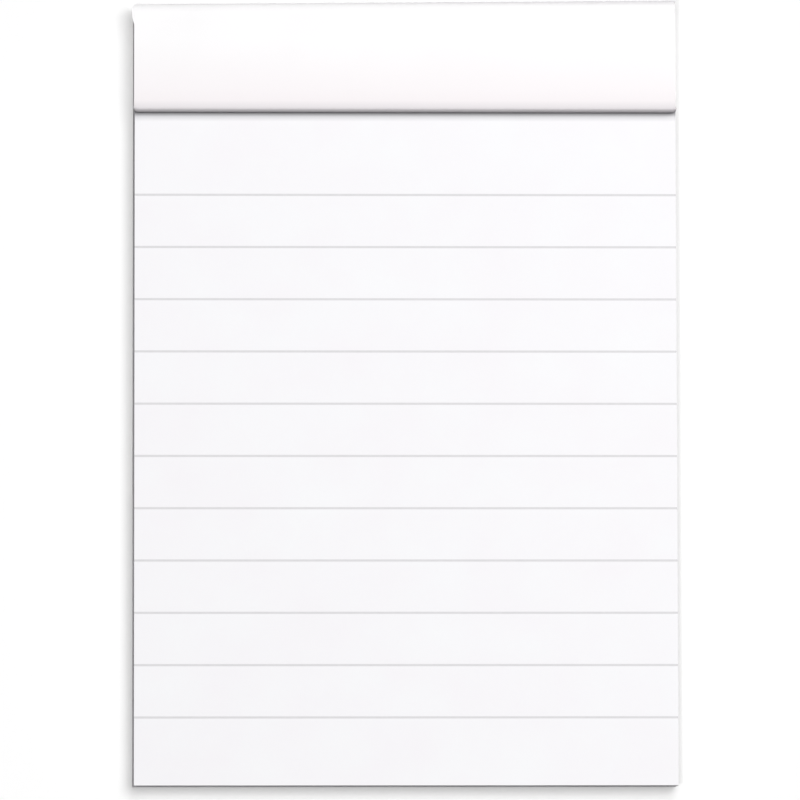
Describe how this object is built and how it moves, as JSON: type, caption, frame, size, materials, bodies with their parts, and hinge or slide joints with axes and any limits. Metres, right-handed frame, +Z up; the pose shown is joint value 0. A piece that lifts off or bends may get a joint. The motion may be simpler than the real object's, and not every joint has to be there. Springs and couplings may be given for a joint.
{
  "type": "legal pad",
  "caption": "Small head-stapled ruled writing pad with its white card cover folded open over the head and back underneath.",
  "frame": {"origin": "middle of the pad's outline, on the surface that it lies on", "axes": "+X to the right of the page, +Y from the foot towards the stapled head, +Z up out of the page"},
  "size_m": [0.074, 0.1066, 0.0114],
  "materials": {
    "cover_card": "white coated card, soft satin",
    "writing_paper": "smooth white uncoated writing paper with pale grey ruling",
    "greyboard": "raw recycled greyboard",
    "staple_wire": "bright galvanised wire"
  },
  "bodies": {
    "root": {"cover": "cover_card", "sheet_block": "writing_paper", "backing_board": "greyboard", "staple_left": "staple_wire", "staple_right": "staple_wire"}
  },
  "joints": []
}
